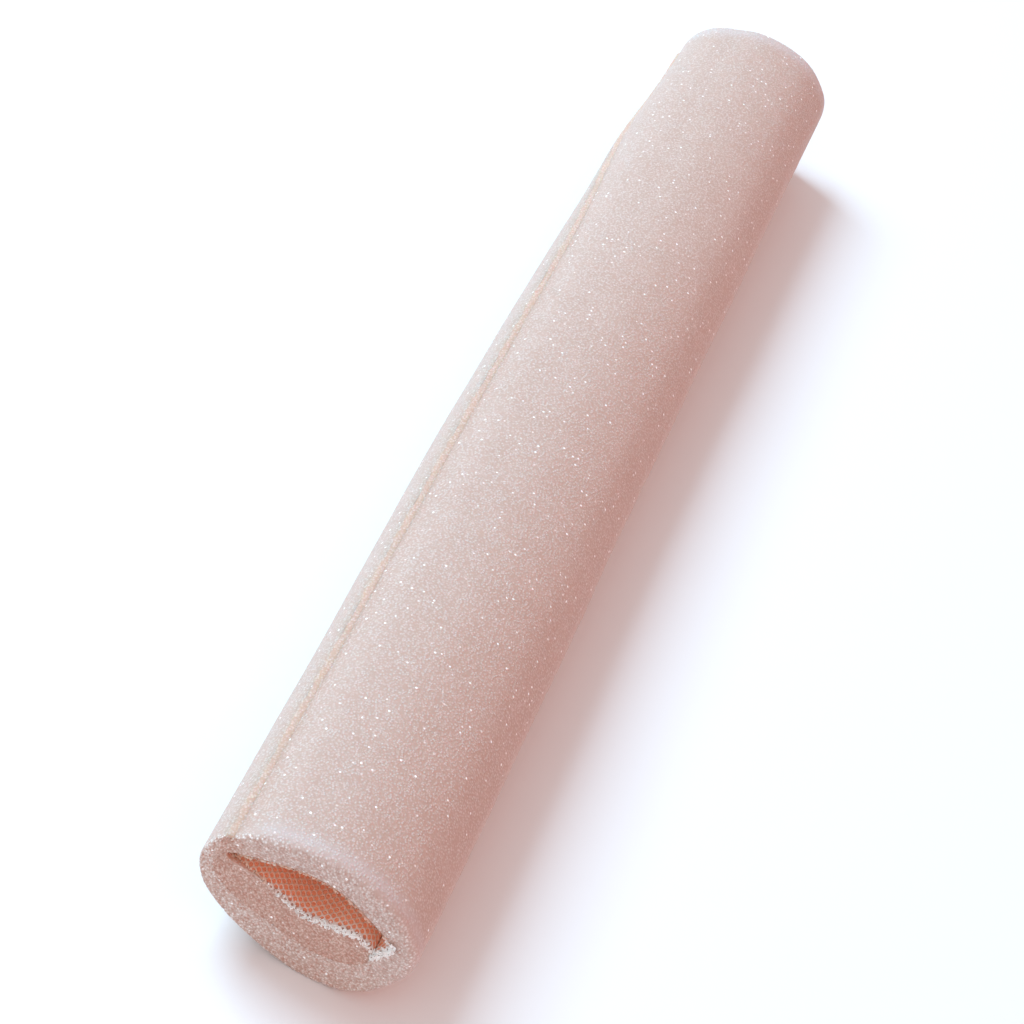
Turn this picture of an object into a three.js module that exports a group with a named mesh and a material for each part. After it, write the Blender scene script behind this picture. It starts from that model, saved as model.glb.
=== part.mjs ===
// A soft foam tube. A strip of open-cell foam, lined with a fine knit on its inner face, is rolled about one and a
// half turns into a flattened spiral, and bonded under the flap and along its outer edge. Millimetres, +Z up. The
// tube lies along Y and rests on Z = 0, with the origin under its middle.
import * as THREE from 'three';

// Driving dimensions.
const LENGTH = 250;
const MIDDLE_HEIGHT = 11.4; // from the resting face to the level that the rows below are measured from
const LINING = 0.4; // thickness of the knit
const FILM = 0.35; // thickness of the adhesive
const GAP = 0.3; // clearance between neighbouring pieces
const STEP = 0.7; // spacing of the points along the rolled strip
const FOLD_STEP = 0.25; // the same, inside the tight fold

// The rolled strip in section, from the flap's free edge inside the tube to the outer edge at the seam. Each row is a
// point of the knit's surface, across and up from the middle of the roll, and the whole wall's thickness there.
const FLAP = [
  [10.2, 1.5, 4.9],
  [7.2, 1.5, 5.4],
  [3.6, 0.8, 5.4],
  [0, 0.5, 5.1],
  [-3.6, 1.3, 5.0],
  [-7.2, 2.4, 5.0],
  [-10, 3.1, 4.3],
];
const FOLD = [
  [-11.7, 3.5, 3.0],
  [-12.6, 4.3, 1.7],
  [-12, 5.1, 2.7],
];
const UPPER_WALL = [
  [-10.4, 5.9, 4.4],
  [-7.8, 6.8, 4.6],
  [-4.4, 7.7, 4.7],
  [0, 8.3, 4.7],
  [4.4, 7.7, 4.7],
  [8.5, 6.2, 4.6],
  [11.5, 4.3, 4.4],
];
const LOWER_WRAP = [
  [13.2, 1.9, 4.2],
  [13.3, -0.4, 4.2],
  [12.1, -2.7, 4.5],
  [10, -4.5, 5.0],
  [6.4, -5.8, 5.6],
  [2.8, -6.1, 5.6],
  [-0.8, -5.6, 5.4],
  [-5, -4.4, 4.9],
  [-9.3, -3.2, 4.1],
  [-12.8, -1.7, 3.1],
  [-14.7, 0.3, 2.8],
  [-15.4, 2.6, 2.4],
  [-15.5, 4.6, 1.9],
  [-15.1, 6.3, 1.3],
];
const ROLL = [...FLAP, ...FOLD, ...UPPER_WALL, ...LOWER_WRAP];

// The adhesive's stretches, counted in rows from the flap's free edge.
const UNDER_FLAP = [1.2, 5.6];
const UNDER_OUTER_EDGE = [7.2, 8.9];

// A smooth curve through the rows: a point of it holds across, up and thickness.
const CURVE = new THREE.CatmullRomCurve3(ROLL.map((row) => new THREE.Vector3(...row)), false, 'centripetal');
const FOLD_ROWS = [FLAP.length - 1, FLAP.length + FOLD.length];

// A place on the strip, by its row number: the point on the knit, the way out through the wall, and the thickness.
function place(row) {
  const t = row / (ROLL.length - 1);
  const point = CURVE.getPoint(t);
  const along = CURVE.getTangent(t);
  const out = new THREE.Vector2(-along.y, along.x).normalize();
  return { at: new THREE.Vector2(point.x, point.y), out, thickness: point.z };
}

// Places from one row number to another, evenly spaced, and closer together inside the fold.
function places(from, to) {
  const list = [];
  const probe = 1e-3;
  let row = from;
  while (row < to) {
    const here = place(row);
    const rowLength = here.at.distanceTo(place(row + probe).at) / probe;
    const step = row > FOLD_ROWS[0] && row < FOLD_ROWS[1] ? FOLD_STEP : STEP;
    list.push(here);
    row += step / rowLength;
  }
  list.push(place(to));
  return list;
}

// The outline of a layer between two depths below the knit's surface, flattened where the roll rests.
function layer(from, to, innerDepth, outerDepth) {
  const line = places(from, to);
  const face = (depth) => line.map((p) => p.at.clone().addScaledVector(p.out, depth(p)));
  const outline = [...face(innerDepth), ...face(outerDepth).reverse()];
  return outline.map((p) => new THREE.Vector2(p.x, Math.max(p.y, -MIDDLE_HEIGHT)));
}

// A named piece with the given section, as long as the tube.
function piece(name, outline, color, roughness) {
  const geometry = new THREE.ExtrudeGeometry(new THREE.Shape(outline), { depth: LENGTH, bevelEnabled: false });
  geometry.translate(0, 0, -LENGTH / 2);
  const mesh = new THREE.Mesh(geometry, new THREE.MeshStandardMaterial({ color, roughness, metalness: 0 }));
  mesh.name = name;
  return mesh;
}

// The foam, from the knit's back to the wall's outer face. It thins to a skived edge at the seam.
function foamSheet() {
  const outline = layer(0, ROLL.length - 1, () => LINING + GAP, (p) => p.thickness);
  return piece('foam_sheet', outline, 0xe9cfc6, 0.95);
}

// The knit laminated to the foam's inner face.
function knitLining() {
  const outline = layer(0, ROLL.length - 1, () => 0, () => LINING);
  return piece('knit_lining', outline, 0xe8a782, 0.9);
}

// A film of adhesive on the wall's outer face.
function adhesive(name, [from, to]) {
  const outline = layer(from, to, (p) => p.thickness + GAP, (p) => p.thickness + GAP + FILM);
  return piece(name, outline, 0xe8b99a, 0.6);
}

// The section is drawn across and up, and stands on the resting face with its width centred.
function rolledTube() {
  const roll = new THREE.Group();
  roll.add(foamSheet(), knitLining());
  roll.add(adhesive('flap_adhesive', UNDER_FLAP), adhesive('seam_adhesive', UNDER_OUTER_EDGE));
  const middle = new THREE.Box3().setFromObject(roll).getCenter(new THREE.Vector3());
  roll.rotation.x = Math.PI / 2;
  roll.position.set(-middle.x, 0, MIDDLE_HEIGHT);
  return new THREE.Group().add(roll);
}

export default rolledTube();
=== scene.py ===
import math

import bpy
import numpy as np
from mathutils import Matrix, Vector, noise


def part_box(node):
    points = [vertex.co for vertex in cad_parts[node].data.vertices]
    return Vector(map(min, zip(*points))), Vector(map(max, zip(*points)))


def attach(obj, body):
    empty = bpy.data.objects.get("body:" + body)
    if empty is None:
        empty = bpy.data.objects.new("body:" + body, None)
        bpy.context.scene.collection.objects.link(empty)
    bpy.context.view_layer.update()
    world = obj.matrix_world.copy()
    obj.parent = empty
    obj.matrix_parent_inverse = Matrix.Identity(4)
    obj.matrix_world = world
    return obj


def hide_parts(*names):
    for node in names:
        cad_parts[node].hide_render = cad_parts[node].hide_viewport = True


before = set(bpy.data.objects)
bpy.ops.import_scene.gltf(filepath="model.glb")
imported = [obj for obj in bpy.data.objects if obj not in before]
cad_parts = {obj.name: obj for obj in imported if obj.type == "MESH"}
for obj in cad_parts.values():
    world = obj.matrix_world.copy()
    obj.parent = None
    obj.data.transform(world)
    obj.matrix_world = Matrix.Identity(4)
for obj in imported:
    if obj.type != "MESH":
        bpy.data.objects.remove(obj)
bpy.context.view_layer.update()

MM = 0.001
FOAM_LOW, FOAM_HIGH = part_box("foam_sheet")
HALF = (FOAM_HIGH[1] - FOAM_LOW[1]) / 2 / MM  # half the tube's length
MIDDLE = 12.6  # height of the level that the rows below are measured from
KNIT = 0.28  # thickness of the knit
PRESSED = 0.4  # how far the inner turn presses into the turn wrapped round it, from the face of its knit
RIM_HIGHLIGHT_MIDDLE = 1.8  # the middle of the painted highlight band along the top of the rim, from the cut end
CELL = 0.55  # size of a foam cell on the cut ends
PIT_DEPTH = 0.18  # how deep the open cells are on the cut ends
SKIN_CELL = 0.41  # size of a foam cell on the outer face, where the struts are close together

# The rolled strip in section, from the flap's free edge to the outer edge at the seam. Each row is a point
# of the knit and the point of the wall's other side across from it, both across and up from the middle of the
# roll, and how far the knit's frayed edge reaches past the cut foam there. Below 0 the knit ends inside it.
ROLL = [
    (11.4, 0.15, 11.3, -2.6, 0.7),
    (10.5, 1.1, 10.2, -4.1, 0.75),
    (9.3, 1.75, 9.0, -5.0, 0.8),
    (7.9, 2.05, 7.4, -5.5, 0.75),
    (5.6, 1.75, 5.4, -5.8, 0.85),
    (2.9, 1.0, 2.7, -6.0, 0.9),
    (0.0, 0.7, 0.0, -5.45, 0.8),
    (-2.9, 1.5, -3.2, -4.65, 0.7),
    (-5.8, 2.5, -6.6, -3.95, 0.4),
    (-8.7, 3.3, -10.0, -3.0, 0.0),
    (-11.2, 3.6, -12.7, -1.5, -0.2),
    (-13.0, 3.8, -14.4, 1.0, -0.3),
    (-13.5, 4.15, -14.95, 3.5, -0.3),
    (-13.1, 4.6, -14.9, 5.6, -0.2),
    (-11.2, 5.4, -13.6, 8.2, 0.1),
    (-8.0, 6.6, -10.2, 10.9, 0.25),
    (-4.5, 7.7, -5.6, 12.35, 0.1),
    (0.0, 8.3, 0.0, 13.05, 0.0),
    (4.4, 7.6, 5.6, 12.3, 0.2),
    (8.3, 5.7, 10.3, 10.6, 0.15),
    (11.2, 4.1, 13.3, 8.6, 0.1),
    (12.7, 3.3, 15.5, 6.2, 0.9),
    (12.8, 2.5, 17.4, 3.2, 1.3),
    (12.1, 1.2, 18.0, 0.2, 1.3),
    (11.4, 0.0, 17.7, -2.4, 1.2),
    (11.15, -1.6, 16.3, -5.4, 0.35),
    (10.95, -2.9, 14.5, -8.1, -0.2),
    (9.8, -4.35, 12.6, -9.9, -0.3),
    (8.7, -5.1, 10.1, -11.5, -0.3),
    (5.8, -5.95, 6.2, -12.5, -0.3),
    (2.9, -6.2, 2.6, -12.6, -0.3),
    (0.0, -5.65, -1.0, -11.9, -0.3),
    (-4.4, -4.75, -6.3, -10.1, -0.3),
    (-8.7, -3.7, -11.4, -7.4, -0.3),
    (-12.0, -2.3, -15.0, -4.4, -0.3),
    (-14.3, -0.3, -16.8, -1.2, -0.3),
    (-15.1, 1.8, -17.35, 1.4, -0.3),
    (-15.25, 3.8, -16.85, 4.0, -0.3),
    (-15.1, 5.9, -15.9, 6.3, -0.3),
    (-14.6, 7.2, -14.9, 7.5, -0.3),
]
# Places in the section where something changes.
FOLD = (-13.5, 4.15)  # the sharp bend at the left of the cavity
ABOVE_FOLD = (-13.1, 4.6)
RIGHT_TURN = (12.8, 2.5)  # where the strip turns down at the right of the cavity
FILM_FROM, FILM_TO = (7.0, 1.7), (-8.7, 3.3)  # the stretch of the flap that is glued down
SEAM = (-14.5, 7.4)  # where the wrap's edge meets the turn inside it


def smooth(rows, per_span=40):
    """A centripetal Catmull-Rom curve through the rows, as a dense list of points."""
    rows = np.array(rows, float)
    padded = np.vstack([2 * rows[0] - rows[1], rows, 2 * rows[-1] - rows[-2]])
    steps = np.diff(padded, axis=0)
    gaps = (np.hypot(steps[:, 0], steps[:, 1]) + np.hypot(steps[:, 2], steps[:, 3])) ** 0.5
    knots = np.concatenate([[0], np.cumsum(gaps)])
    pieces = []
    for i in range(len(rows) - 1):
        p, k = padded[i : i + 4], knots[i : i + 4]
        t = np.linspace(k[1], k[2], per_span, endpoint=False)[:, None]
        a = [((k[j + 1] - t) * p[j] + (t - k[j]) * p[j + 1]) / (k[j + 1] - k[j]) for j in range(3)]
        b = [((k[j + 2] - t) * a[j] + (t - k[j]) * a[j + 1]) / (k[j + 2] - k[j]) for j in range(2)]
        pieces.append(((k[2] - t) * b[0] + (t - k[1]) * b[1]) / (k[2] - k[1]))
    return np.vstack(pieces + [rows[-1:]])


class Strip:
    """The rolled strip by distance along the knit: points, the way out through the wall, thickness, fray."""

    def __init__(self, rows):
        dense = smooth(rows)
        knit_steps = np.hypot(*np.diff(dense[:, :2], axis=0).T)
        back_steps = np.hypot(*np.diff(dense[:, 2:4], axis=0).T)
        self.distance = np.concatenate([[0], np.cumsum(knit_steps)])
        self.evened = np.concatenate([[0], np.cumsum(0.35 * knit_steps + 0.65 * back_steps)])
        self.length = self.distance[-1]
        across = dense[:, 2:4] - dense[:, :2]
        thickness = np.hypot(*across.T)
        self.values = np.column_stack([dense[:, :2], across / thickness[:, None], thickness, dense[:, 4]])
        self.press_layers(PRESSED)

    def press_layers(self, depth):
        """Makes the inner turn just thick enough to press through the knit of the turn wrapped round it."""
        knit = self.values[:, :2]
        wrap = np.flatnonzero(self.distance > self.nearest(RIGHT_TURN) + 1)
        starts, steps = knit[wrap[:-1]], np.diff(knit[wrap], axis=0)
        for i in np.flatnonzero(self.distance < self.nearest(ABOVE_FOLD) + 2):
            way = self.values[i, 2:4]
            gap = starts - knit[i]
            cross = way[0] * steps[:, 1] - way[1] * steps[:, 0]
            along_way = (gap[:, 0] * steps[:, 1] - gap[:, 1] * steps[:, 0]) / cross
            along_step = (gap[:, 0] * way[1] - gap[:, 1] * way[0]) / cross
            # 1 where the way out meets the other turn's knit squarely, less where it meets it at a slant.
            square = np.maximum(np.abs(cross) / np.hypot(*steps.T), 0.5)
            met = (along_way > 0) & (along_step >= 0) & (along_step <= 1)
            if met.any():
                first = np.argmin(np.where(met, along_way, np.inf))
                self.values[i, 4] = along_way[first] + depth / square[first]

    def at(self, s):
        """Point, way out, thickness and fray at distances s."""
        found = np.stack([np.interp(s, self.distance, column) for column in self.values.T], -1)
        return found[..., :2], found[..., 2:4], found[..., 4], found[..., 5]

    def stations(self, count):
        """Distances whose steps are even on a line between the wall's two sides."""
        return np.interp(np.linspace(0, self.evened[-1], count), self.evened, self.distance)

    def nearest(self, place):
        """The distance along the strip where the knit is nearest a place."""
        return self.distance[np.argmin(np.hypot(self.values[:, 0] - place[0], self.values[:, 1] - place[1]))]


STRIP = Strip(ROLL)
S_FOLD = STRIP.nearest(FOLD)
S_RIGHT = STRIP.nearest(RIGHT_TURN)


def ease(value, start, end):
    """0 before start, 1 after end, smooth between."""
    t = np.clip((value - start) / (end - start), 0, 1)
    return t * t * (3 - 2 * t)


TWIST = math.radians(12)  # how far the roll turns towards its far end
AXIS_LEVEL = 0.8  # the level that it turns about, from the rows' level
FAR_SLIP = math.radians(28)  # how far round the left side the seam slips towards the far end
SLIP_CENTRE = (-7.5, 1.5)  # the middle of the left side's bend
LEFT_BULGE = 0.06  # how much wider the left side is, before the middle of the tube
FAR_PINCH = 0.1  # how much the left side is squeezed at the far end
FAR_SWELL = 0.07  # how much taller the roll is at the far end
FAR_SINK = 1.2  # how far down the turned roll settles at the far end
RIGHT_PINCH = 0.025  # how much narrower the right side is from the middle of the tube on
TIP_REACH = 0.3  # how far the flap's free edge presses into the wrap beside it
LUMP_HEIGHT, LUMP_SIZE = 0.18, 22  # how far the soft outer face swells and sinks, and over what length
LUMP_SHIFT = Vector((4, 12, 0))  # picks the part of the noise that is used
CUT_SLANT = 0.02  # how far the far cut leans along the tube, per millimetre across
FAR_STRETCH = 0.7  # how much further the far cut is


def turned(across, up, angle, centre):
    """Section coordinates turned about a centre."""
    a, b = across - centre[0], up - centre[1]
    cos, sin = np.cos(angle), np.sin(angle)
    return centre[0] + a * cos - b * sin, centre[1] + a * sin + b * cos


def settle(across, up, y):
    """Places section coordinates on the floor, with the roll's slight twist, bulge, pinch and slanted cut."""
    slip = FAR_SLIP * ease(y, 40, 110) * ease(-across, 4, 12) * ease(up, -8, 0)
    across, up = turned(across, up, slip, SLIP_CENTRE)
    far_half = ease(y, -10, HALF)
    x, up = turned(across, up, TWIST * far_half, (0, AXIS_LEVEL))
    z = up + MIDDLE - FAR_SINK * far_half
    z = z * (1 + FAR_SWELL * ease(y, 0, HALF))
    bulge = LEFT_BULGE * np.exp(-(((y + 10) / 66) ** 2)) - FAR_PINCH * ease(y, 80, HALF)
    pinch = RIGHT_PINCH * ease(y, -90, 0) * (1 - 0.6 * ease(y, 90, HALF))
    x = np.where(x < 0, x * (1 + bulge), x * (1 - pinch))
    return np.stack([x, y + (CUT_SLANT * x + FAR_STRETCH) * ease(y, 60, HALF), np.maximum(z, 0)], -1)


def all_pairs(first, second):
    """Every value of the first list with every value of the second, as two arrays."""
    return [grid.ravel() for grid in np.meshgrid(first, second, indexing="ij")]


def grid_faces(index):
    """Quads of a 2-D array of vertex numbers."""
    return np.stack([index[:-1, :-1], index[1:, :-1], index[1:, 1:], index[:-1, 1:]], -1).reshape(-1, 4)


def new_mesh(name, points, faces):
    """A smooth-shaded mesh object from points in millimetres."""
    mesh = bpy.data.meshes.new(name)
    mesh.from_pydata((np.asarray(points) * MM).tolist(), [], [list(map(int, f)) for f in faces])
    mesh.validate()
    mesh.polygons.foreach_set("use_smooth", [True] * len(mesh.polygons))
    piece = bpy.data.objects.new(name, mesh)
    bpy.context.scene.collection.objects.link(piece)
    return piece


def store(piece, name, values):
    """A number per vertex, for the material to read."""
    layer = piece.data.attributes.new(name, "FLOAT", "POINT")
    layer.data.foreach_set("value", np.asarray(values, np.float32))


def spaced_rows(half, radius, steps, coarse, growth):
    """Places along the tube: evenly spaced round the rounded ends, then further and further apart."""
    rows = list(radius * (1 - np.cos(np.linspace(0, math.pi / 2, steps))))
    step = rows[-1] - rows[-2]
    while rows[-1] < half:
        step = min(step * growth, coarse)
        rows.append(min(rows[-1] + step, half))
    near = -half + np.array(rows)
    return np.concatenate([near, -near[::-1][1:]])


def foam_pits(points):
    """How deep in an open cell each point is, from 0 on a strut to 1 in the middle of a cell."""
    depths = []
    for point in points:
        near, _ = noise.voronoi(Vector(point / CELL))
        depths.append(near[1] - near[0])
    return ease(np.array(depths), 0.02, 0.45)


def lumps(points):
    """How far the soft outer face is swollen at each point."""
    return LUMP_HEIGHT * np.array([noise.noise(Vector(point / LUMP_SIZE) + LUMP_SHIFT) for point in points])


def rounding(radius, from_end):
    """How far in a rounded end is, at a distance from it."""
    reach = np.maximum(radius - from_end, 0)
    return radius - np.sqrt(np.maximum(radius**2 - reach**2, 0))


def block_surface(shape):
    """The places of a block's surface points, as three index arrays, and the surface's faces."""
    on_surface = np.zeros(shape, bool)
    on_surface[[0, -1]] = True
    on_surface[:, [0, -1]] = True
    on_surface[:, :, [0, -1]] = True
    number = np.zeros(shape, int)
    number[on_surface] = np.arange(on_surface.sum())
    faces = [grid_faces(number[:, 0, :]), grid_faces(number[:, -1, :])[:, ::-1]]
    faces += [grid_faces(number[0])[:, ::-1], grid_faces(number[-1])]
    faces += [grid_faces(number[:, :, 0])[:, ::-1], grid_faces(number[:, :, -1])]
    return np.nonzero(on_surface), np.vstack(faces)


def foam_body():
    """The foam strip as one closed body, with rounded cut ends and pitted cut faces."""
    count, layers = 430, 27
    y_rows = spaced_rows(HALF, radius=2.0, steps=12, coarse=6.0, growth=1.4)
    (i, j, k), faces = block_surface((count, layers, len(y_rows)))
    s = STRIP.stations(count)[i]
    point, way, thickness, _ = STRIP.at(s)
    y = y_rows[k]
    from_end = HALF - np.abs(y)
    through = j / (layers - 1)  # 0 on the lined face, 1 on the outer face

    # Each is 1 on one stretch of the strip: the arched top, the turn inside the wrap, all that shows from
    # outside, and the wrap under the flap.
    topside = ease(s, S_FOLD + 2, S_FOLD + 8) * (1 - ease(s, S_RIGHT + 2, S_RIGHT + 9))
    inner_turn = 1 - ease(s, S_FOLD + 1.8, S_FOLD + 3.8)
    in_the_open = ease(s, S_FOLD + 0.5, S_FOLD + 2)
    between = ease(s, S_RIGHT + 2.5, S_RIGHT + 4.5)

    outer_inset = 0.8 * rounding(0.4 + np.where(y < 0, 1.6, 0.5) * topside, from_end) * (1 - inner_turn)
    inner_inset = 0.5 * rounding(0.5, from_end) * (1 - between)
    tip_inset = rounding(0.12, s)
    inner = KNIT + inner_inset + tip_inset
    outer = np.maximum(thickness - outer_inset - tip_inset, inner + 0.03)
    d = inner + (outer - inner) * through
    tip_reach = TIP_REACH * (1 - ease(s, 0.3, 1.2)) * through
    place = settle(point[:, 0] + way[:, 0] * d + tip_reach, point[:, 1] + way[:, 1] * d, y)

    cut = (from_end == 0).astype(float)
    rim = np.where((j > 0) | (between > 0.5), ease(from_end, 0.9, 0.0), 0)
    pits = np.zeros(len(place))
    deep = rim > 0.02
    pits[deep] = foam_pits(place[deep])
    place[:, 1] -= np.sign(y) * PIT_DEPTH * pits * rim
    way_out = np.stack([way[:, 0], np.zeros(len(s)), way[:, 1]], -1)
    rough = -0.1 * pits * rim * (1 - cut)
    place += way_out * ((through == 1) * in_the_open * (lumps(place) + rough))[:, None]
    place[:, 2] = np.maximum(place[:, 2], 0)

    piece = new_mesh("foam_body", place, faces)
    piece.data.set_sharp_from_angle(angle=math.radians(55))
    store(piece, "cut", np.where(j > 0, ease(from_end, 1.5, 0.0) ** 1.5, cut))
    by_fold = np.exp(-(((s - S_FOLD) / 2.5) ** 2)) * ease(from_end, 12, 4)
    # Where the painted shade and glow of the cavity lies: the knit-lined face, less by the fold.
    store(piece, "lined", (j == 0) * ease(from_end, 0.1, 0.9 + 3 * between) * (1 - 0.75 * by_fold))
    # Where the painted shade in the open cells' pits lies, on the cut ends.
    store(piece, "pit_shade", pits * rim)
    # Where the painted highlight lies: along the top side, close to both cut ends.
    store(piece, "wear_and_highlight", np.exp(-(((from_end - RIM_HIGHLIGHT_MIDDLE) / RIM_HIGHLIGHT_MIDDLE) ** 2)) * topside * (j > 0))
    # The inner turn, which gets painted shade.
    store(piece, "flap", 1 - ease(s, S_FOLD - 1, S_FOLD + 5))
    by_seam = np.hypot(point[:, 0] + way[:, 0] * d - SEAM[0], point[:, 1] + way[:, 1] * d - SEAM[1])
    store(piece, "seam", ease(by_seam, 1.5, 0.3))
    return piece


# The knit: elliptical holes in a staggered lattice, with threads between them.
HOLE_STEP = (0.686, 1.20)  # between the columns, and along the tube between the holes of a column
HOLE_RADII = (0.35, 0.43)
KNIT_ZONE = 16  # how far in from each end the holes are modelled; beyond it the material draws them
CURL_RADIUS = 0.35  # of the cut edge, where it turns away from the cavity
# Half of a cell's outline from its hole's middle, and for each point the hole's edge, as an angle in degrees.
LOOP = [(0.605, 0.0, 0), (0.343, 0.3, 45), (0.081, 0.6, 75)]
LOOP += [(0.0, 0.6, 90), (-0.081, 0.6, 105), (-0.343, 0.3, 135)]
LOOP += [(-x, -y, angle + 180) for x, y, angle in LOOP]


def knit_point(s, past_end, height, end):
    """A point of the knit: past_end is along the tube beyond its cut end, and height towards the cavity."""
    point, way, _, fray = STRIP.at(s)
    # The furthest that the cut edge turns, more where it is frayed and uneven along the strip.
    most = np.radians(34 + 60 * ease(fray, 0.4, 0.9) + 18 * np.sin(s * 1.9) + 9 * np.sin(s * 5.3 + 1))
    turn = np.clip(past_end / CURL_RADIUS, 0, most)
    straight = past_end - CURL_RADIUS * turn
    deep = KNIT / 2 + CURL_RADIUS * (1 - np.cos(turn)) + straight * np.sin(turn) - height * np.cos(turn)
    y = HALF + CURL_RADIUS * np.sin(turn) + straight * np.cos(turn) + height * np.sin(turn)
    return settle(point[..., 0] + way[..., 0] * deep, point[..., 1] + way[..., 1] * deep, end * y)


def knit_holes(rng):
    """The middles of the modelled holes: along the strip, and along the tube past its cut end."""
    columns = np.arange(1, int(STRIP.length / HOLE_STEP[0]))
    rows = np.arange(int((KNIT_ZONE + 2) / HOLE_STEP[1]))
    column, row = all_pairs(columns, rows)
    s = column * HOLE_STEP[0]
    past = 1.9 - (row + 0.5 * (column % 2)) * HOLE_STEP[1]
    fray = STRIP.at(s)[3]
    ragged = fray * (0.8 + 0.4 * rng.random(len(s))) + 0.15 * rng.standard_normal(len(s)) - 0.15
    kept = past < np.where(fray > 0.3, ragged, 0.62)
    return s[kept], past[kept]


def knit_end(end, rng):
    """The knit near one end: hexagonal cells with a hole in each, and a frayed edge."""
    s, past = knit_holes(rng)
    wear_and_highlight = ease(past, -0.5, 0.6)
    loop = np.array(LOOP)
    angles = np.radians(loop[:, 2])
    crest_s = s[:, None] + loop[:, 0]
    crest_e = past[:, None] + loop[:, 1]
    size = (0.97 - 0.62 * wear_and_highlight + 0.05 * rng.standard_normal(len(s)))[:, None]
    hole_s = s[:, None] + HOLE_RADII[0] * size * np.cos(angles)
    hole_e = past[:, None] + HOLE_RADII[1] * size * np.sin(angles)
    all_s = np.concatenate([crest_s.ravel(), hole_s.ravel()])
    all_e = np.concatenate([crest_e.ravel(), hole_e.ravel()])
    low = np.zeros(len(all_s), bool)
    low[crest_s.size :] = True
    # Neighbouring cells share the points that coincide, to 0.02 mm, unless one is low and the other high.
    keys = np.round(np.column_stack([all_s, all_e, low * 50.0]) / 0.02).astype(int)
    _, first, same = np.unique(keys, axis=0, return_index=True, return_inverse=True)
    same = same.reshape(-1)
    s_u, e_u, low_u = all_s[first], all_e[first], low[first]
    reach = STRIP.at(s_u)[3]
    # Where the knit isn't frayed it is cut nearly straight. Elsewhere 9 mm more leaves it as it is.
    trimmed = np.where(reach > 0, 0.5, 3.0) * reach + 0.2 * rng.standard_normal(len(s_u)) + 9 * (reach > 0.3)
    e_u = np.minimum(e_u, trimmed)
    uneven = 0.03 + 0.11 * ease(e_u, -0.3, 0.6)
    height = np.where(low_u, -0.09, 0.04) + uneven * rng.standard_normal(len(s_u)) * np.where(low_u, 0.4, 1)
    s_u = np.clip(s_u + 0.6 * uneven * rng.standard_normal(len(s_u)), 0, STRIP.length)
    points = knit_point(s_u, e_u, height, end)
    crest = same[: crest_s.size].reshape(crest_s.shape)
    hole = same[crest_s.size :].reshape(crest_s.shape)
    faces = np.stack([crest, np.roll(crest, -1, 1), np.roll(hole, -1, 1), hole], -1).reshape(-1, 4)
    return points, faces if end < 0 else faces[:, ::-1], s_u, e_u


def knit_middle():
    """The plain knit between the two ends, just under the level of the modelled cells."""
    s = np.linspace(0, STRIP.length, 190)
    y = np.linspace(-HALF + KNIT_ZONE - 0.8, HALF - KNIT_ZONE + 0.8, 46)
    s_all, y_all = all_pairs(s, y)
    points = knit_point(s_all, y_all - HALF, np.zeros(len(s_all)), 1)
    faces = grid_faces(np.arange(len(s_all)).reshape(len(s), len(y)))
    return points, faces, s_all, y_all


def fibre(start, way, length, radius, rng):
    """A short curved thread as a thin tube."""
    steps, sides = 5, 5
    way = way / np.linalg.norm(way)
    bend = rng.standard_normal(3)
    bend -= bend.dot(way) * way
    centre, points = np.array(start, float), []
    for step in range(steps):
        side = np.cross(way, (0.3, 0.5, 0.8))  # any direction would do
        side /= np.linalg.norm(side)
        other = np.cross(way, side)
        thin = radius * (1 - 0.5 * step / (steps - 1))
        for turn in np.arange(sides) * 2 * math.pi / sides:
            points.append(centre + thin * (side * math.cos(turn) + other * math.sin(turn)))
        way = way + 0.35 * bend
        way /= np.linalg.norm(way)
        centre = centre + way * length / (steps - 1)
    index = np.arange(steps * sides).reshape(steps, sides)
    return points, grid_faces(np.hstack([index, index[:, :1]]))


def loose_threads(end, count, rng):
    """Fuzz along the frayed edge."""
    points, faces, total = [], [], 0
    places = np.linspace(0.0, STRIP.length - 1, 3000)
    fray = np.maximum(STRIP.at(places)[3] - 0.2, 0) ** 1.5
    for s in rng.choice(places, count, p=fray / fray.sum()):
        reach = STRIP.at(s)[3]
        past = rng.uniform(-0.2, reach)
        start = knit_point(np.array(s), np.array(past), np.array(0.05), end)
        further = knit_point(np.array(s), np.array(past + 0.3), np.array(0.2), end)
        way = (further - start) + rng.standard_normal(3) * 0.28
        tube, quads = fibre(start, way, rng.uniform(0.2, 0.35 + 0.25 * reach), rng.uniform(0.11, 0.19), rng)
        points += tube
        faces.append(quads + total)
        total += len(tube)
    return np.array(points), np.vstack(faces)


def knit_lining():
    """The knit on the foam's inner face, frayed where it was cut."""
    rng = np.random.default_rng(11)
    parts = []  # points, faces, place along the strip and the tube, 1 where drawn, distance past the cut
    for end, threads in ((-1, 250), (1, 150)):
        points, faces, s, past = knit_end(end, rng)
        parts.append((points, faces, s, end * (HALF + past), 0.0, past))
        points, faces = loose_threads(end, threads, rng)
        parts.append((points, faces, 0.0, end * HALF, 0.0, 1.0))
    points, faces, s, y = knit_middle()
    parts.append((points, faces, s, y, 1.0, -20.0))

    sizes = [len(part[0]) for part in parts]
    starts = np.concatenate([[0], np.cumsum(sizes)])
    faces = np.vstack([part[1] + start for part, start in zip(parts, starts)])
    piece = new_mesh("knit_lining_cloth", np.vstack([part[0] for part in parts]), faces)
    filled = [[np.broadcast_to(value, size) for value in part[2:]] for part, size in zip(parts, sizes)]
    s, y, drawn, past = [np.concatenate(column) for column in zip(*filled)]
    store(piece, "knit_s", s)
    store(piece, "knit_y", y)
    store(piece, "drawn", drawn)
    teased = 0.1 + 0.9 * ease(STRIP.at(s)[3], 0.1, 0.5)
    store(piece, "frayed", ease(past, -2.6, 0.4) ** 1.7 * teased)
    store(piece, "near_edge", ease(past, -7.0, 0.0))
    return piece


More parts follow.
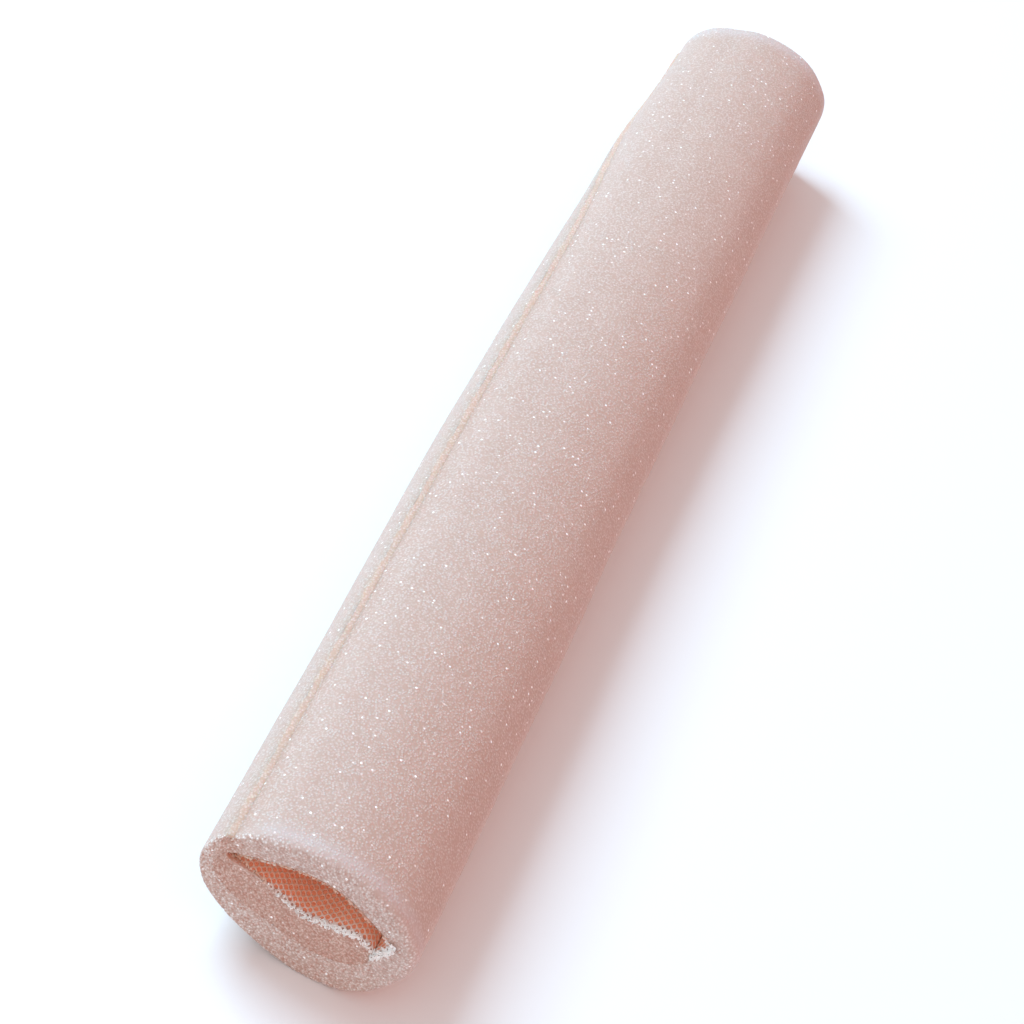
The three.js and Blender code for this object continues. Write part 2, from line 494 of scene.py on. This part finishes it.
def seam_bead():
    """The glue along the wrap's outer edge: a low bead in the seam, and a film down between the layers."""
    middle_rows = np.linspace(-HALF + 1.2, HALF - 1.2, 160)
    y_rows = np.concatenate([[-HALF + 0.25], middle_rows, [HALF - 0.25]])
    end_way = STRIP.at(STRIP.length)[1]
    lower = STRIP.at(STRIP.length - 3.5)[0]
    bead = [(-13.6, 7.7), (-13.95, 7.77), (-14.35, 7.67), (-14.85, 7.54), (-15.12, 7.3), (-15.0, 7.1)]
    film = [(-14.62, 7.0), (lower[0] + 0.05, lower[1]), (lower[0] + 0.2, lower[1]), (-14.4, 6.9)]
    profile = np.array(bead + film)
    count = len(profile)
    across = np.tile(profile[:, 0], len(y_rows))
    up = np.tile(profile[:, 1], len(y_rows))
    y = np.repeat(y_rows, count)
    wave = 0.03 * np.sin(y * 0.9) + 0.03 * np.sin(y * 0.37 + 1)
    swell = np.where(np.tile(np.arange(count), len(y_rows)) < len(bead), wave, 0)
    points = settle(across - 0.5 * swell, up + 0.4 * swell, y)
    points += lumps(points)[:, None] * np.array([end_way[0], 0, end_way[1]])
    index = np.arange(len(points)).reshape(len(y_rows), count)
    ring = np.hstack([index, index[:, :1]])
    faces = grid_faces(ring).tolist() + [index[0].tolist(), index[-1][::-1].tolist()]
    return new_mesh("seam_glue", points, faces)


def flap_film():
    """The glue between the flap and the layer under it."""
    s = np.linspace(STRIP.nearest(FILM_FROM), STRIP.nearest(FILM_TO), 60)
    y = np.linspace(-HALF + 1.5, HALF - 1.5, 60)
    s_all, y_all = all_pairs(s, y)
    point, way, thickness, _ = STRIP.at(s_all)
    sides = []
    for deep in (-0.08, 0.1):
        d = thickness + deep
        sides.append(settle(point[:, 0] + way[:, 0] * d, point[:, 1] + way[:, 1] * d, y_all))
    index = np.arange(len(s_all)).reshape(len(s), len(y))
    low = index + len(s_all)
    faces = [grid_faces(index), grid_faces(low)[:, ::-1]]
    for edge in (np.s_[0, :], np.s_[-1, :], np.s_[:, 0], np.s_[:, -1]):
        faces.append(grid_faces(np.stack([index[edge], low[edge]])))
    return new_mesh("flap_glue", np.vstack(sides), np.vstack(faces))


def node(tree, kind, sockets=None, **settings):
    """Adds a node, sets its properties, and links or sets its inputs."""
    made = tree.nodes.new(kind)
    for key, value in settings.items():
        setattr(made, key, value)
    for key, value in (sockets or {}).items():
        if isinstance(value, bpy.types.NodeSocket):
            tree.links.new(value, made.inputs[key])
        else:
            made.inputs[key].default_value = value
    return made


def math_node(tree, operation, *values):
    """The result of one operation on sockets or numbers."""
    return node(tree, "ShaderNodeMath", dict(enumerate(values)), operation=operation).outputs[0]


def attribute(tree, name, share=1):
    """A number stored on the mesh, or a share of it."""
    value = node(tree, "ShaderNodeAttribute", attribute_name=name).outputs["Fac"]
    return value if share == 1 else math_node(tree, "MULTIPLY", value, share)


def soft_noise_node(tree, coords, scale, detail):
    """Smooth noise from 0 to 1."""
    sockets = {"Vector": coords, "Scale": scale, "Detail": detail}
    return node(tree, "ShaderNodeTexNoise", sockets).outputs["Fac"]


def ramp(tree, value, low, high, start=0.0, end=1.0):
    """Smooth change from start to end while value goes from low to high."""
    sockets = {"Value": value, "From Min": low, "From Max": high, "To Min": start, "To Max": end}
    return node(tree, "ShaderNodeMapRange", sockets, interpolation_type="SMOOTHSTEP").outputs["Result"]


def mixed(tree, factor, a, b, blend="MIX"):
    """Colour a changed towards colour b by factor."""
    made = node(tree, "ShaderNodeMix", data_type="RGBA", blend_type=blend)
    # The colour sockets of this node are numbers 6 and 7, and the result is number 2.
    for key, value in ((0, factor), (6, a), (7, b)):
        if isinstance(value, bpy.types.NodeSocket):
            tree.links.new(value, made.inputs[key])
        elif key == 0:
            made.inputs[key].default_value = value
        else:
            made.inputs[key].default_value = (*value, 1)
    return made.outputs[2]


def new_material(name):
    """An empty material with a Principled shader: the tree, the shader and the object coordinates."""
    material = bpy.data.materials.new(name)
    material.use_nodes = True
    tree = material.node_tree
    shader = tree.nodes["Principled BSDF"]
    coords = node(tree, "ShaderNodeTexCoord").outputs["Object"]
    return material, tree, shader, coords


def struts(tree, coords):
    """The light knots of the open cells, and the few that get painted sparkles."""
    cells = node(tree, "ShaderNodeTexVoronoi", {"Vector": coords, "Scale": 1 / (SKIN_CELL * MM)})
    shade = node(tree, "ShaderNodeSeparateColor", {0: cells.outputs["Color"]}).outputs[1]
    bright = ramp(tree, shade, 0.0, 1.0, 0.4, 1.0)
    knot = math_node(tree, "MULTIPLY", ramp(tree, cells.outputs["Distance"], 0.1, 0.7, 1.0, 0.0), bright)
    specks = node(tree, "ShaderNodeTexVoronoi", {"Vector": coords, "Scale": 1000.0})
    spot = ramp(tree, specks.outputs["Distance"], 0.12, 0.26, 1.0, 0.0)
    chosen = node(tree, "ShaderNodeSeparateColor", {0: specks.outputs["Color"]}).outputs[0]
    return knot, math_node(tree, "MULTIPLY", spot, ramp(tree, chosen, 0.75, 1.0))


# Colours.
SKIN_A = (0.54, 0.355, 0.288)  # the outer face, in patches of the two
SKIN_B = (0.52, 0.335, 0.268)
SKIN_FLECK = (0.70, 0.58, 0.53)  # the knots where its struts meet
RIM_HIGHLIGHT = (0.66, 0.65, 0.67)  # painted highlight: a pale, cool band along the top of the rim at both ends
CUT_FOAM = (0.545, 0.395, 0.33)  # the cut ends
CUT_FLECK = (0.98, 0.98, 0.96)  # the knots on the cut ends
PIT_SHADE = (0.88, 0.62, 0.55)  # painted shade: multiplies the colour in an open cell, darker and redder in its pit
FLAP_SHADE = (0.89, 0.72, 0.65)  # painted shade: multiplies the colour of the inner turn, which lies inside the roll, darker and redder
SEAM_TINT = (1.0, 0.93, 0.88)  # multiplies the colour beside the glue
BEHIND_KNIT_SHADE_GLOW = (0.92, 0.33, 0.18)  # painted shade and glow: the foam seen through the knit, darkened in the cavity and reddened by light coming through the wall
GLUE_COLOUR = (0.59, 0.385, 0.30)
GLUE_FLECK = (0.75, 0.60, 0.53)
SHEEN = 0.2  # the pale bloom of the open cells at a glancing angle
# Painted sparkle: white dots in the colour.
PAINTED_SPARKLE = (1.0, 0.99, 0.98)
PAINTED_GLINT = (0.3, 0.3, 0.31)  # painted glint: the sparkles glow, as clean struts would when facing a light
GLOW = (0.06, 0.032, 0.02)  # light that comes through the foam into the cavity
THREAD_DEEP_SHADE = (0.78, 0.48, 0.35)  # painted shade: the knit far inside the cavity, darker and more orange
THREAD_NEAR = (0.80, 0.58, 0.46)  # the knit near the ends
THREAD_WHITE = (0.88, 0.86, 0.84)  # frayed threads
THREAD_SHADE = (0.75, 0.7, 0.68)  # multiplies the colour between a thread's filaments
THREAD_GLOW = (0.08, 0.08, 0.08)  # light scattered in the white fuzz
SUBSURFACE = 0.3  # how much of the light passes under the foam's outer face, and under the glue


def foam_material():
    """Open-cell foam: light struts round pits in painted shade, painted white sparkles and glints, a painted
    highlight along the top of the rim, painted shade on the inner turn, and painted shade and glow behind the
    knit.
    """
    material, tree, shader, coords = new_material("pink_foam")
    fleck, sparkle = struts(tree, coords)
    cut = attribute(tree, "cut")
    mottle = soft_noise_node(tree, coords, 160.0, 3.0)
    skin = mixed(tree, ramp(tree, mottle, 0.3, 0.7), SKIN_A, SKIN_B)
    colour = mixed(tree, fleck, mixed(tree, cut, skin, CUT_FOAM), mixed(tree, cut, SKIN_FLECK, CUT_FLECK))
    # Painted shade in the open cells' pits.
    colour = mixed(tree, attribute(tree, "pit_shade", 0.85), colour, PIT_SHADE, "MULTIPLY")
    # A painted highlight along the top of the rim.
    colour = mixed(tree, attribute(tree, "wear_and_highlight", 0.3), colour, RIM_HIGHLIGHT)
    # Painted shade on the inner turn, inside the roll.
    colour = mixed(tree, attribute(tree, "flap", 0.9), colour, FLAP_SHADE, "MULTIPLY")
    colour = mixed(tree, attribute(tree, "seam", 0.7), colour, SEAM_TINT, "MULTIPLY")
    # Painted shade and glow of the cavity, seen through the knit.
    colour = mixed(tree, attribute(tree, "lined"), colour, BEHIND_KNIT_SHADE_GLOW)
    # Painted sparkles: white dots in the colour.
    colour = mixed(tree, sparkle, colour, PAINTED_SPARKLE)
    tree.links.new(colour, shader.inputs["Base Color"])
    tree.links.new(ramp(tree, sparkle, 0, 1, 0.65, 0.25), shader.inputs["Roughness"])
    shader.inputs["Specular IOR Level"].default_value = 0.7
    shader.inputs["Sheen Weight"].default_value = SHEEN
    shader.inputs["Sheen Roughness"].default_value = 0.5
    shader.inputs["Sheen Tint"].default_value = (0.95, 0.98, 1.0, 1)
    soft = math_node(tree, "MULTIPLY", math_node(tree, "SUBTRACT", 1.0, cut), SUBSURFACE)
    tree.links.new(soft, shader.inputs["Subsurface Weight"])
    shader.inputs["Subsurface Scale"].default_value = 0.003
    shader.inputs["Subsurface Radius"].default_value = (1.0, 0.35, 0.25)
    glow = mixed(tree, attribute(tree, "lined"), (0.0, 0.0, 0.0), GLOW)
    # Painted glints: the sparkles glow too.
    glow = mixed(tree, sparkle, glow, PAINTED_GLINT)
    tree.links.new(glow, shader.inputs["Emission Color"])
    shader.inputs["Emission Strength"].default_value = 1.0
    raised = math_node(tree, "ADD", fleck, math_node(tree, "MULTIPLY", sparkle, 0.5))
    bump = node(tree, "ShaderNodeBump", {"Height": raised, "Distance": 0.00012, "Strength": 0.7})
    tree.links.new(bump.outputs[0], shader.inputs["Normal"])
    return material


def knit_material():
    """The knit: tan threads with painted shade far inside the cavity, white where frayed, with the lattice
    drawn where it is not modelled and its holes in painted shade and glow.
    """
    material, tree, shader, coords = new_material("knit")
    sockets = {0: attribute(tree, "knit_s"), 1: attribute(tree, "knit_y")}
    place = node(tree, "ShaderNodeCombineXYZ", sockets).outputs[0]
    # The lattice repeats over two columns, and the second column is half a step along the tube.
    half_s, half_y = HOLE_STEP[0], HOLE_STEP[1] / 2
    nearest = []
    for shift in ((0, 0, 0), (half_s, half_y, 0)):
        moved = node(tree, "ShaderNodeVectorMath", {0: place, 1: shift}, operation="ADD").outputs[0]
        sockets = {0: moved, 1: (half_s, half_y, 1), 2: (-half_s, -half_y, -1)}
        wrapped = node(tree, "ShaderNodeVectorMath", sockets, operation="WRAP").outputs[0]
        sockets = {0: wrapped, 1: (1 / HOLE_RADII[0], 1 / HOLE_RADII[1], 0)}
        scaled = node(tree, "ShaderNodeVectorMath", sockets, operation="MULTIPLY").outputs[0]
        nearest.append(node(tree, "ShaderNodeVectorMath", {0: scaled}, operation="LENGTH").outputs["Value"])
    ring = math_node(tree, "MINIMUM", *nearest)
    drawn = attribute(tree, "drawn")
    hole = math_node(tree, "MULTIPLY", ramp(tree, ring, 0.85, 1.1, 1.0, 0.0), drawn)
    fuzz = soft_noise_node(tree, coords, 4500.0, 2.0)
    # Painted shade: the knit is darker and more orange further into the cavity.
    thread = mixed(tree, attribute(tree, "near_edge"), THREAD_DEEP_SHADE, THREAD_NEAR)
    thread = mixed(tree, attribute(tree, "frayed"), thread, THREAD_WHITE)
    # The drawn holes show the painted shade and glow of the foam behind.
    colour = mixed(tree, hole, thread, BEHIND_KNIT_SHADE_GLOW)
    colour = mixed(tree, ramp(tree, fuzz, 0.3, 0.7, 0.0, 0.3), colour, THREAD_SHADE, "MULTIPLY")
    tree.links.new(colour, shader.inputs["Base Color"])
    shader.inputs["Roughness"].default_value = 0.85
    inside = math_node(tree, "SUBTRACT", 1.0, attribute(tree, "frayed"))
    tree.links.new(mixed(tree, inside, THREAD_GLOW, GLOW), shader.inputs["Emission Color"])
    shader.inputs["Emission Strength"].default_value = 1.0
    level = math_node(tree, "SUBTRACT", math_node(tree, "MULTIPLY", fuzz, 0.4), hole)
    bump = node(tree, "ShaderNodeBump", {"Height": level, "Distance": 0.0001, "Strength": 0.7})
    tree.links.new(bump.outputs[0], shader.inputs["Normal"])
    return material


def glue_material():
    """Dried peach-coloured glue, soaked into the surface of the foam."""
    material, tree, shader, coords = new_material("glue")
    patch, _ = struts(tree, coords)
    colour = mixed(tree, patch, GLUE_COLOUR, GLUE_FLECK)
    tree.links.new(colour, shader.inputs["Base Color"])
    shader.inputs["Roughness"].default_value = 0.75
    shader.inputs["Specular IOR Level"].default_value = 0.25
    shader.inputs["Subsurface Weight"].default_value = SUBSURFACE
    shader.inputs["Subsurface Scale"].default_value = 0.001
    bump = node(tree, "ShaderNodeBump", {"Height": patch, "Distance": 0.0001, "Strength": 0.5})
    tree.links.new(bump.outputs[0], shader.inputs["Normal"])
    return material


def floor_material():
    """A plain pale floor."""
    material, tree, shader, coords = new_material("floor")
    patch = soft_noise_node(tree, coords, 3.0, 2.0)
    colour = mixed(tree, patch, (0.90, 0.90, 0.90), (0.92, 0.92, 0.92))
    tree.links.new(colour, shader.inputs["Base Color"])
    shader.inputs["Roughness"].default_value = 0.9
    return material


GLUE = glue_material()
foam = foam_body()
foam.data.materials.append(foam_material())
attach(foam, "root")
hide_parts("foam_sheet")

lining = knit_lining()
lining.data.materials.append(knit_material())
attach(lining, "root")
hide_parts("knit_lining")

for glue, replaced in ((seam_bead(), "seam_adhesive"), (flap_film(), "flap_adhesive")):
    glue.data.materials.append(GLUE)
    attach(glue, "root")
    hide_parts(replaced)

FLOOR = 20000  # half the floor's width
corners = [(x * FLOOR, y * FLOOR, 0) for x, y in ((-1, -1), (1, -1), (1, 1), (-1, 1))]
floor = new_mesh("floor", corners, [(0, 1, 2, 3)])
floor.data.materials.append(floor_material())

# The camera looks along the tube from above its near end, turned about its own axis.
SENSOR = 36
FOCAL = 98.4375
ELEVATION = math.radians(42.078)
ROLL_ANGLE = math.radians(27.982)
DISTANCE = 476.182  # from the camera to where it aims
AIM = Vector((-0.763, -27.972, 13.4))
forward = Vector((0, math.cos(ELEVATION), -math.sin(ELEVATION)))
level_right = Vector((1, 0, 0))
level_up = level_right.cross(forward)
right = level_right * math.cos(ROLL_ANGLE) + level_up * math.sin(ROLL_ANGLE)
up = level_up * math.cos(ROLL_ANGLE) - level_right * math.sin(ROLL_ANGLE)
camera = bpy.data.objects.new("camera", bpy.data.cameras.new("camera"))
camera.data.lens = FOCAL
camera.data.sensor_width = SENSOR
axes = Matrix((right, up, -forward)).transposed()
camera.matrix_world = Matrix.Translation((AIM - forward * DISTANCE) * MM) @ axes.to_4x4()
bpy.context.scene.collection.objects.link(camera)
bpy.context.scene.camera = camera


def area_light(name, direction, distance, size, power, colour):
    """A square light aimed at the tube, from a direction and a distance."""
    light = bpy.data.objects.new(name, bpy.data.lights.new(name, "AREA"))
    light.data.size = size * MM
    light.data.energy = power
    light.data.color = colour
    way = Vector(direction).normalized()
    light.location = (way * distance + Vector((0, 0, 12))) * MM
    light.rotation_euler = way.to_track_quat("Z", "Y").to_euler()
    bpy.context.scene.collection.objects.link(light)


area_light("key", (-0.66, 0.2, 0.72), 900, 450, 6.3, (0.86, 1.21, 1.46))
area_light("front", (-0.25, -0.85, 0.45), 900, 900, 1.4, (0.96, 0.98, 0.97))
# The surroundings.
WHITE_SIDE = (0.94, 1.02, 1.08)
SALMON_SIDE = (1.56, 0.61, 0.44)
SALMON_WAY = (0.95, -0.1, -0.3)  # towards the right, and a little down
world = bpy.data.worlds.new("world")
world.use_nodes = True
sky = world.node_tree
toward = node(sky, "ShaderNodeTexCoord").outputs["Generated"]
sockets = {0: toward, 1: SALMON_WAY}
side = node(sky, "ShaderNodeVectorMath", sockets, operation="DOT_PRODUCT").outputs["Value"]
tint = mixed(sky, ramp(sky, side, -0.3, 0.8), WHITE_SIDE, SALMON_SIDE)
sky.links.new(tint, sky.nodes["Background"].inputs["Color"])
sky.nodes["Background"].inputs["Strength"].default_value = 0.6
bpy.context.scene.world = world
bpy.context.scene.view_settings.view_transform = "Standard"

bpy.context.view_layer.update()
